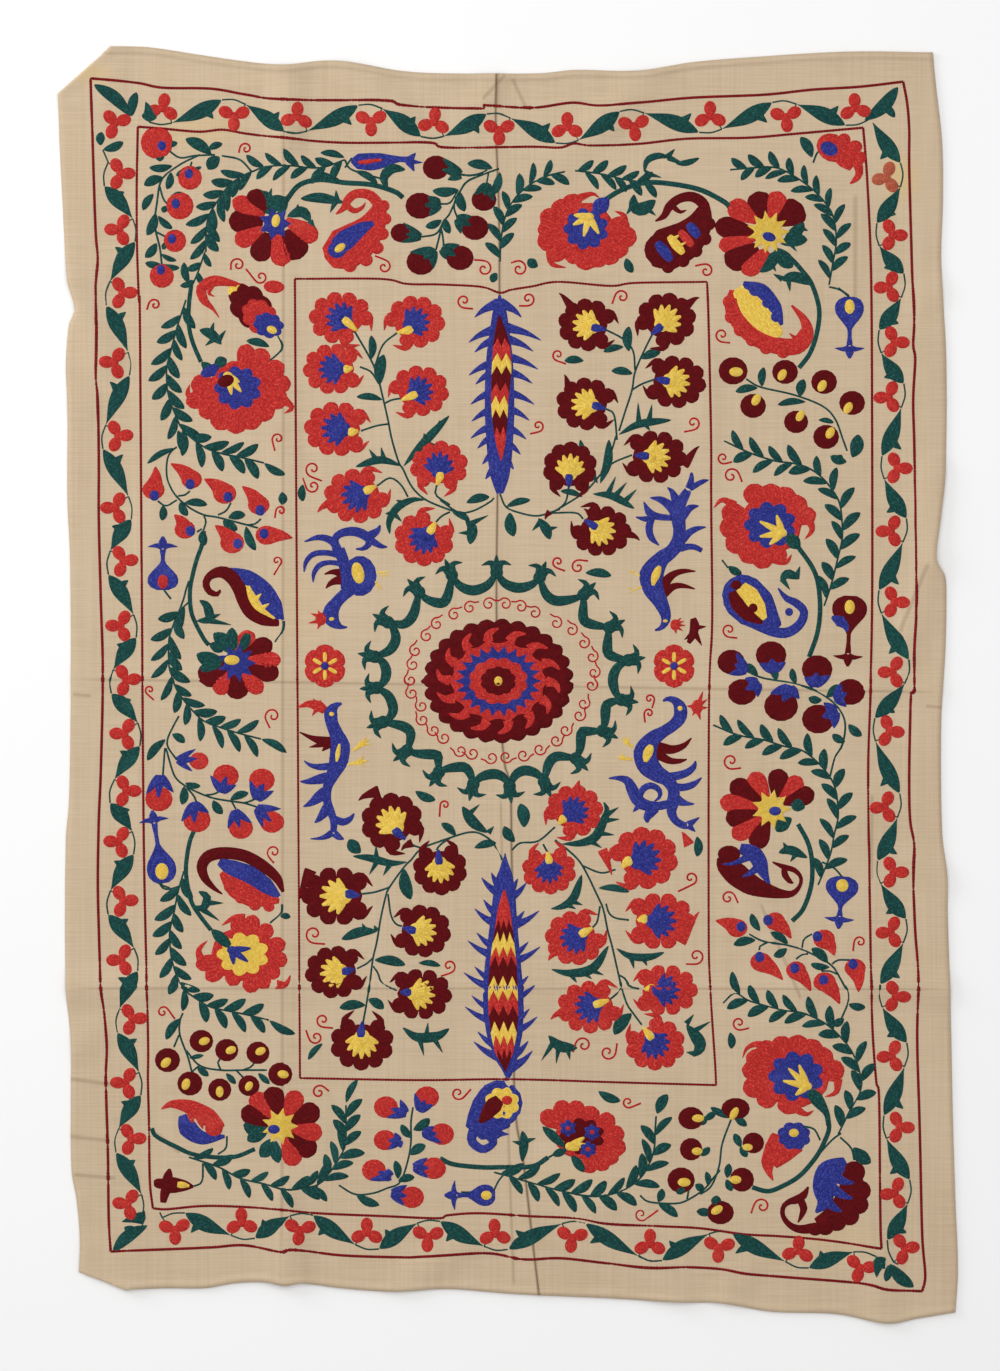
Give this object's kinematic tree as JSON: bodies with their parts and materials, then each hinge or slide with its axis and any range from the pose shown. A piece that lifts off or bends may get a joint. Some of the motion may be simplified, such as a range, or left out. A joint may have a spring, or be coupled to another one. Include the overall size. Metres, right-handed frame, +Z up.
{
  "type": "suzani embroidered textile",
  "caption": "Large embroidered cotton hanging of two loom widths sewn edge to edge, laid flat face up, with soft storage creases and a corner folded under.",
  "frame": {"origin": "middle of the cloth's outline, on the surface that it lies on", "axes": "+X from the left selvedge to the right one, +Y from the bottom hem to the top one, +Z up out of the embroidered face"},
  "size_m": [1.0791, 1.5309, 0.0104],
  "materials": {
    "embroidered_cotton": "plain hand-loomed cream cotton with chain stitch in coloured thread"
  },
  "bodies": {
    "root": {"panel_left": "embroidered_cotton", "panel_right": "embroidered_cotton"}
  },
  "joints": []
}
